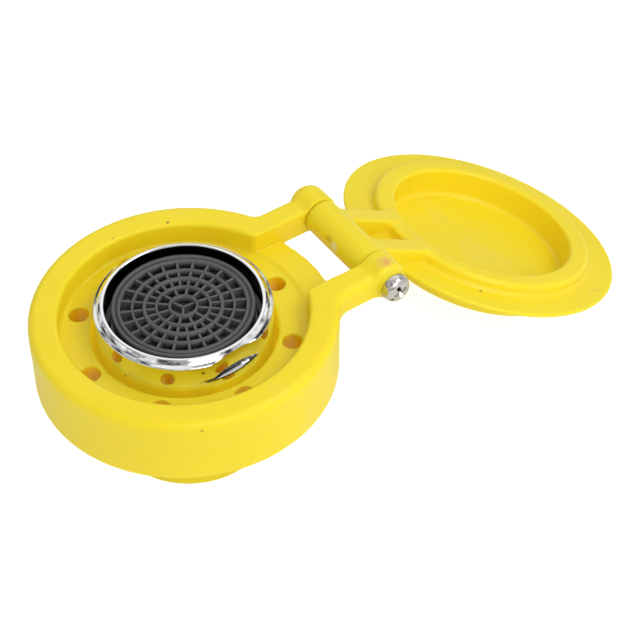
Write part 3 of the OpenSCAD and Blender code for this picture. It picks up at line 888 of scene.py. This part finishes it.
def grid_tree():
    """Rings and spokes of the outlet grid. All inputs are in metres, counts or radians."""
    tree = bpy.data.node_groups.new("outlet_grid", "GeometryNodeTree")
    tree.interface.new_socket("Geometry", in_out="OUTPUT", socket_type="NodeSocketGeometry")
    sizes = {"Rim radius": grid_high.x, "Rim width": 2.0, "Hub radius": 3.15, "Rib": 0.55,
             "Top": grid_high.z, "Height": grid_high.z - grid_low.z}
    for label in sizes:
        tree.interface.new_socket(label, in_out="INPUT", socket_type="NodeSocketFloat")
    tree.interface.new_socket("Spokes", in_out="INPUT", socket_type="NodeSocketInt")
    tree.interface.new_socket("Material", in_out="INPUT", socket_type="NodeSocketMaterial")
    entry = tree.nodes.new("NodeGroupInput")
    join = tree.nodes.new("GeometryNodeJoinGeometry")

    def calc(operation, a, b):
        return math_node(tree, operation, a, b)

    def ring(radius, width, high, low):
        """A flat-topped ring; all four are sockets or numbers."""
        circle = tree.nodes.new("GeometryNodeCurvePrimitiveCircle")
        circle.inputs["Resolution"].default_value = 144
        feed(tree, radius, circle.inputs["Radius"])
        profile = tree.nodes.new("GeometryNodeCurvePrimitiveQuadrilateral")
        feed(tree, width, profile.inputs["Width"])
        feed(tree, calc("SUBTRACT", high, low), profile.inputs["Height"])
        sweep = tree.nodes.new("GeometryNodeCurveToMesh")
        wire(tree, circle.outputs["Curve"], sweep.inputs["Curve"])
        wire(tree, profile.outputs["Curve"], sweep.inputs["Profile Curve"])
        lift = tree.nodes.new("GeometryNodeTransform")
        wire(tree, sweep.outputs["Mesh"], lift.inputs["Geometry"])
        offset = tree.nodes.new("ShaderNodeCombineXYZ")
        feed(tree, calc("MULTIPLY", calc("ADD", high, low), 0.5), offset.inputs["Z"])
        wire(tree, offset.outputs[0], lift.inputs["Translation"])
        wire(tree, lift.outputs["Geometry"], join.inputs["Geometry"])

    def spokes(count, start, end, high, low, first):
        """Straight ribs between two radii."""
        bar = tree.nodes.new("GeometryNodeMeshCube")
        size = tree.nodes.new("ShaderNodeCombineXYZ")
        feed(tree, calc("SUBTRACT", end, start), size.inputs["X"])
        feed(tree, entry.outputs["Rib"], size.inputs["Y"])
        feed(tree, calc("SUBTRACT", high, low), size.inputs["Z"])
        wire(tree, size.outputs[0], bar.inputs["Size"])
        shift = tree.nodes.new("GeometryNodeTransform")
        wire(tree, bar.outputs["Mesh"], shift.inputs["Geometry"])
        middle = tree.nodes.new("ShaderNodeCombineXYZ")
        feed(tree, calc("MULTIPLY", calc("ADD", end, start), 0.5), middle.inputs["X"])
        feed(tree, calc("MULTIPLY", calc("ADD", high, low), 0.5), middle.inputs["Z"])
        wire(tree, middle.outputs[0], shift.inputs["Translation"])
        centre = tree.nodes.new("GeometryNodePoints")
        feed(tree, count, centre.inputs["Count"])
        copies = tree.nodes.new("GeometryNodeInstanceOnPoints")
        wire(tree, centre.outputs[0], copies.inputs["Points"])
        wire(tree, shift.outputs["Geometry"], copies.inputs["Instance"])
        number = tree.nodes.new("GeometryNodeInputIndex")
        step = calc("DIVIDE", 2 * math.pi, count)
        turn = calc("ADD", calc("MULTIPLY", number.outputs[0], step), first)
        angle = tree.nodes.new("ShaderNodeCombineXYZ")
        feed(tree, turn, angle.inputs["Z"])
        wire(tree, angle.outputs[0], copies.inputs["Rotation"])
        real = tree.nodes.new("GeometryNodeRealizeInstances")
        wire(tree, copies.outputs[0], real.inputs[0])
        wire(tree, real.outputs[0], join.inputs["Geometry"])

    rim, width, rib = (entry.outputs[k] for k in ("Rim radius", "Rim width", "Rib"))
    top, hub = entry.outputs["Top"], entry.outputs["Hub radius"]
    low = calc("SUBTRACT", top, entry.outputs["Height"])
    out_r = calc("SUBTRACT", rim, width)
    cell = calc("DIVIDE", calc("SUBTRACT", out_r, hub), 4.1)
    # rim with a groove round its top
    third = calc("DIVIDE", width, 3.2)
    ring(calc("SUBTRACT", rim, calc("MULTIPLY", third, 0.6)), calc("MULTIPLY", third, 1.2),
         top, low)
    ring(calc("SUBTRACT", rim, calc("MULTIPLY", third, 1.5)), third,
         calc("SUBTRACT", top, 0.0005), low)
    ring(calc("ADD", out_r, calc("MULTIPLY", third, 0.6)), calc("MULTIPLY", third, 1.2),
         calc("SUBTRACT", top, 0.0001), low)
    tip = calc("SUBTRACT", top, 0.0002)
    deep = calc("SUBTRACT", top, 0.0004)
    radii = [calc("SUBTRACT", out_r, calc("MULTIPLY", cell, k)) for k in range(4)]
    ring(radii[1], rib, tip, low)
    ring(radii[2], calc("MULTIPLY", rib, 1.5), tip, low)
    ring(radii[3], rib, tip, low)
    ring(hub, rib, tip, low)
    count = entry.outputs["Spokes"]
    spokes(count, radii[3], out_r, deep, low, math.radians(3.5))
    spokes(calc("DIVIDE", count, 2), hub, radii[3], deep, low, math.radians(18.5))
    spokes(3, 0, hub, calc("SUBTRACT", top, 0.0008), low, math.radians(-5))
    solid = tree.nodes.new("GeometryNodeRealizeInstances")
    wire(tree, join.outputs[0], solid.inputs[0])
    paint = tree.nodes.new("GeometryNodeSetMaterial")
    wire(tree, solid.outputs[0], paint.inputs["Geometry"])
    wire(tree, entry.outputs["Material"], paint.inputs["Material"])
    leave = tree.nodes.new("NodeGroupOutput")
    wire(tree, paint.outputs[0], leave.inputs[0])
    return tree, {k: v * MM for k, v in sizes.items()}


def outlet_grid():
    tree, values = grid_tree()
    values["Spokes"] = 24
    values["Material"] = grey_plastic
    mesh = bpy.data.meshes.new("grid_moulding")
    grid = place(bpy.data.objects.new("grid_moulding", mesh))
    made = grid.modifiers.new("grid", "NODES")
    made.node_group = tree
    for item in tree.interface.items_tree:
        if item.item_type == "SOCKET" and item.in_out == "INPUT":
            made[item.identifier] = values[item.name]
    finished(grid)
    return grid


add_piece(outlet_grid(), grey_plastic, "head", "grey_plastic", "outlet_grid")


# ---------------------------------------------------------------- pieces kept from the CAD model

kept = {
    "fine_screen": fine_wire, "coarse_screen": coarse_wire, "inlet_strainer": strainer_wire,
    "cartridge_body": white_plastic, "diffuser_plate": white_plastic,
    "regulator_core": blue_plastic, "regulator_ring": black_rubber,
    "aerator_washer": black_rubber, "nipple_gasket": black_rubber, "inlet_washer": black_rubber,
    "inlet_nipple": brass, "lock_nut": brass, "lock_washer": steel,
}
for name, material in kept.items():
    frame["nodes"][name].data.materials.clear()
    frame["nodes"][name].data.materials.append(material)


# ---------------------------------------------------------------- floor, light and camera

def studio_floor():
    """A plain pale floor, seen as white paper and left out when seen from below."""
    material, tree, shader = new_material(
        "studio_floor", Roughness=0.9, Emission_Color=(1.0, 1.0, 1.0, 1.0))
    skin = use_group(tree, moulding, Cloud_scale=6.0, Dimple_scale=300.0)
    wire(tree, mix_colours(tree, skin.outputs["Tone"], (0.74, 0.74, 0.74), (0.76, 0.76, 0.76)),
         shader.inputs["Base Color"])
    rays = tree.nodes.new("ShaderNodeLightPath")
    paper = math_node(tree, "MULTIPLY", rays.outputs["Is Camera Ray"], 0.6)
    wire(tree, math_node(tree, "ADD", paper, 0.17), shader.inputs["Emission Strength"])
    side = tree.nodes.new("ShaderNodeNewGeometry")
    clear = tree.nodes.new("ShaderNodeBsdfTransparent")
    blend = tree.nodes.new("ShaderNodeMixShader")
    wire(tree, side.outputs["Backfacing"], blend.inputs[0])
    wire(tree, shader.outputs[0], blend.inputs[1])
    wire(tree, clear.outputs[0], blend.inputs[2])
    end = next(n for n in tree.nodes if n.type == "OUTPUT_MATERIAL")
    wire(tree, blend.outputs[0], end.inputs["Surface"])
    bpy.ops.mesh.primitive_plane_add(size=6)
    floor = bpy.context.object
    floor.name = "studio_floor"
    floor.data.materials.append(material)


def soft_light(name, place_at, size, power):
    light_aim = Vector((0.02, 0, 0.03))
    data = bpy.data.lights.new(name, "AREA")
    data.shape = "DISK"
    data.size = size
    data.energy = power
    lamp = place(bpy.data.objects.new(name, data))
    lamp.location = place_at
    lamp.rotation_euler = (light_aim - Vector(place_at)).to_track_quat("-Z", "Y").to_euler()


def studio_world():
    """Even white light, with darker parts of the room for the plated pieces to mirror."""
    world = bpy.data.worlds.new("studio")
    bpy.context.scene.world = world
    world.use_nodes = True
    tree = world.node_tree
    sky = tree.nodes["Background"]
    where = tree.nodes.new("ShaderNodeTexCoord").outputs["Generated"]
    room = ramp_node(tree, noise_node(tree, where, 2.2, 4.0, 0.6), 0.42, 0.60, 0.06, 1.0)
    # a bright wall behind the object, which level chrome mirrors
    facing = tree.nodes.new("ShaderNodeVectorMath")
    facing.operation = "DOT_PRODUCT"
    wire(tree, where, facing.inputs[0])
    facing.inputs[1].default_value = (0.40, 0.58, 0.71)
    wall_light = ramp_node(tree, facing.outputs["Value"], 0.80, 0.93, 0.0, 1.1)
    room = math_node(tree, "MAXIMUM", room, wall_light)
    rays = tree.nodes.new("ShaderNodeLightPath")
    plain = math_node(tree, "SUBTRACT", 1.0, rays.outputs["Is Glossy Ray"])
    mirrored = math_node(tree, "MULTIPLY", rays.outputs["Is Glossy Ray"], room)
    sky.inputs["Color"].default_value = (1.0, 1.0, 1.0, 1.0)
    wire(tree, math_node(tree, "ADD", math_node(tree, "MULTIPLY", plain, 0.66), mirrored),
         sky.inputs["Strength"])


camera_turn = (-34.707, 45.501, -0.411)
camera_aim = Vector((21.608, -22.991, 41.71)) * MM
camera_distance = 0.4614
camera_lens = 116.34


def studio_camera():
    data = bpy.data.cameras.new("camera")
    camera = place(bpy.data.objects.new("camera", data))
    azimuth, elevation, roll = map(math.radians, camera_turn)
    back = Vector((math.sin(azimuth) * math.cos(elevation),
                   -math.cos(azimuth) * math.cos(elevation), math.sin(elevation)))
    level = Vector((math.cos(azimuth), math.sin(azimuth), 0))
    up = back.cross(level)
    right = level * math.cos(roll) + up * math.sin(roll)
    top = -level * math.sin(roll) + up * math.cos(roll)
    matrix = Matrix((right, top, back)).transposed().to_4x4()
    matrix.translation = camera_aim + back * camera_distance
    camera.matrix_world = matrix
    data.lens = camera_lens
    data.sensor_width = 36
    data.clip_start = 0.05
    data.clip_end = 20
    bpy.context.scene.camera = camera


studio_floor()
studio_world()
studio_camera()
soft_light("key_light", (0.45, -0.35, 0.9), 0.5, 2.4)
soft_light("front_light", (-0.10, -0.80, 0.60), 0.6, 2.7)
bpy.context.scene.view_settings.view_transform = "Standard"
